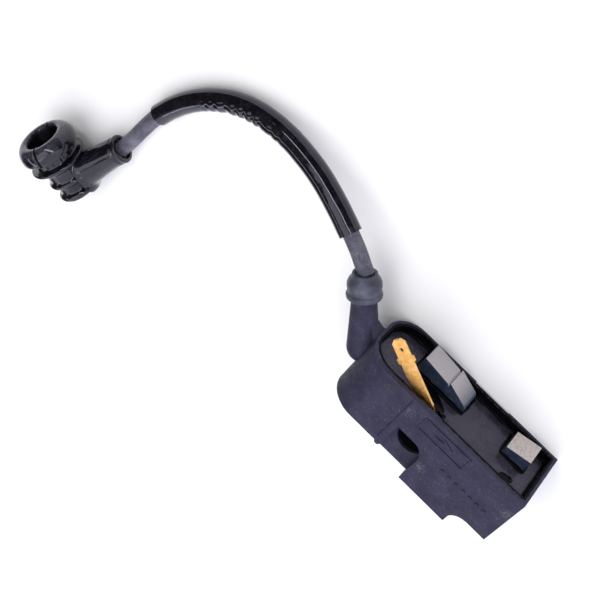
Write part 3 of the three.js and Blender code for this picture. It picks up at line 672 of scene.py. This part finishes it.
def meniscus_and_wall_shade_ring(corners, outer, seed, points, faces):
    """A raised concave band where the resin climbs its neighbour. Up the outer wall it climbs
    high, as a near-black sheet that paints the shade on that wall.
    """
    line = resampled(corners + [corners[0]], 0.45 * MM)[:-1]
    count = len(line)
    rings = []
    for k, point in enumerate(line):
        along = line[(k + 1) % count] - line[k - 1]
        out = Vector((along.z, 0, -along.x)).normalized() * (-1 if outer else 1)
        swell = noise.noise(Vector((point.x * 260, seed * 3.7, point.z * 260)))
        width = 0.6 + 0.55 * swell
        # The high climb on the outer wall carries the painted shade of that wall.
        climb = (2.3 if outer else 0.7) + 0.5 * swell
        section = ((-1.05 * width, -0.12), (-1.0 * width, 0.012), (-0.6 * width, 0.05),
                   (-0.3 * width, 0.17), (-0.06, 0.4), (0.02, climb), (0.28, climb + 0.1),
                   (0.28, -0.4))
        rings.append(range(len(points), len(points) + len(section)))
        points.extend(point + (out * a + Vector((0, b, 0))) * MM for a, b in section)
    stitch(rings + rings[:1], faces)


def rim_bead_and_shadow_line(corners, points, faces):
    """Resin that has crept over the inner edge of the rim. Its near-black colour also paints the
    shadow line between the rim and the fill.
    """
    line = resampled(corners + [corners[0]], 0.5 * MM)[:-1]
    count = len(line)
    rings = []
    for k, point in enumerate(line):
        along = line[(k + 1) % count] - line[k - 1]
        out = Vector((-along.z, 0, along.x)).normalized()
        swell = 1 + 0.8 * noise.noise(Vector((point.x * 700, 9.1, point.z * 700)))
        section = ((-0.1, 2.1), (-0.13, 2.78), (0.04, 2.98), (0.42 + 0.25 * swell, 3.0),
                   (0.5 + 0.28 * swell, 2.88), (0.4, 2.4))
        rings.append(range(len(points), len(points) + len(section)))
        points.extend(point + (out * a + Vector((0, b, 0))) * MM for a, b in section)
    stitch(rings + rings[:1], faces)


POOL_SIDES = 48
POOL_SECTION = ((1.0, -0.1), (0.99, 0.03), (0.9, 0.1), (0.6, 0.15), (0.2, 0.17))


def pool(centre, radii, turn, points, faces):
    """A low round-edged puddle of clear resin lying on the fill."""
    rings = []
    for scale, height in POOL_SECTION:
        rings.append(range(len(points), len(points) + POOL_SIDES))
        for k in range(POOL_SIDES):
            angle = math.tau * k / POOL_SIDES
            edge = Vector((math.cos(angle), 0, math.sin(angle)))
            reach = scale * (1 + 0.22 * noise.noise(edge * 1.4 + centre * 1000))
            offset = Vector((edge.x * radii[0], 0, edge.z * radii[1])) * reach
            offset.rotate(Matrix.Rotation(math.radians(turn), 3, "Y"))
            points.append(centre + (offset + Vector((0, height, 0))) * MM)
    faces.append(tuple(rings[0]))
    faces.append(tuple(rings[-1])[::-1])
    for a, b in zip(rings, rings[1:]):
        for k in range(POOL_SIDES):
            n = (k + 1) % POOL_SIDES
            faces.append((a[k], b[k], b[n], a[n]))


ring_points, ring_faces = [], []
for seed, (loop, is_outer) in enumerate(top_loops("potting_compound", 0.002)):
    meniscus_and_wall_shade_ring(loop, is_outer, seed, ring_points, ring_faces)
    if is_outer:
        rim_bead_and_shadow_line(loop, ring_points, ring_faces)
        level = loop[0].y       # one pool is beside the kill tab, one near the trailing pole
        pool(Vector((0.0012, level, 0.0153)), (6.0, 2.3), -24, ring_points, ring_faces)
        pool(Vector((0.0320, level, 0.0186)), (2.4, 1.5), 20, ring_points, ring_faces)
link("resin_meniscus_and_painted_shade", finished_mesh("resin_meniscus_and_painted_shade", ring_points, ring_faces), "meniscus_and_painted_shade")

# ---------------------------------------------------------------- studio

FLOOR_REACH = 3
MIDDLE = (-0.05, 0, 0.01)       # the lights point here
LIGHTS = (                      # name, place, size, power
    ("key", (-0.15, 0.0, 0.9), (0.9, 0.7), 4.0),
    ("strip", (-0.25, -0.55, 0.45), (0.6, 0.05), 0.5),
    ("line", (-0.12, 0.52, 0.7), (1.0, 0.08), 2.8),
    ("fill", (0.35, 0.6, 0.5), (0.5, 0.5), 0.5),
)


def make_floor():
    s = Shader("floor_paper", Specular_IOR_Level=0.2)
    s.bump(s.noise(0.9, 3), 0.03, 0.2)
    tone = s.mix(s.noise(0.02, 2), (0.93, 0.93, 0.93, 1), (0.95, 0.95, 0.95, 1))
    return s.set(Base_Color=tone, Roughness=0.8)


floor_mesh = bpy.data.meshes.new("floor")
floor_mesh.from_pydata([(x * FLOOR_REACH, y * FLOOR_REACH, 0) for x, y in
                        ((-1, -1), (1, -1), (1, 1), (-1, 1))], [], [(0, 1, 2, 3)])
floor = bpy.data.objects.new("floor", floor_mesh)
floor_mesh.materials.append(make_floor())
scene.collection.objects.link(floor)


def area_light(name, place, size, power):
    data = bpy.data.lights.new(name, "AREA")
    data.shape = "RECTANGLE"
    data.size, data.size_y = size
    data.energy = power
    light = bpy.data.objects.new(name, data)
    light.location = place
    aim = Vector(MIDDLE) - Vector(place)
    light.rotation_euler = aim.to_track_quat("-Z", "Y").to_euler()
    scene.collection.objects.link(light)


# The surroundings are dim, with one bright panel to the side.
world = bpy.data.worlds.new("studio")
world.use_nodes = True
world_tree = world.node_tree
toward = world_tree.nodes.new("ShaderNodeTexCoord").outputs["Generated"]
side_glow = world_tree.nodes.new("ShaderNodeVectorMath")
side_glow.operation = "DOT_PRODUCT"
side_glow.inputs[1].default_value = (0.9, -0.35, 0.25)
panel = world_tree.nodes.new("ShaderNodeMapRange")
for name, value in (("From Min", 0.37), ("From Max", 0.5), ("To Min", 0.06), ("To Max", 1.7)):
    panel.inputs[name].default_value = value
world_tree.links.new(toward, side_glow.inputs[0])
world_tree.links.new(side_glow.outputs["Value"], panel.inputs["Value"])
world_tree.links.new(panel.outputs[0], world_tree.nodes["Background"].inputs["Strength"])
world_tree.nodes["Background"].inputs["Color"].default_value = (0.9, 0.9, 1, 1)
scene.world = world
for light_row in LIGHTS:
    area_light(*light_row)
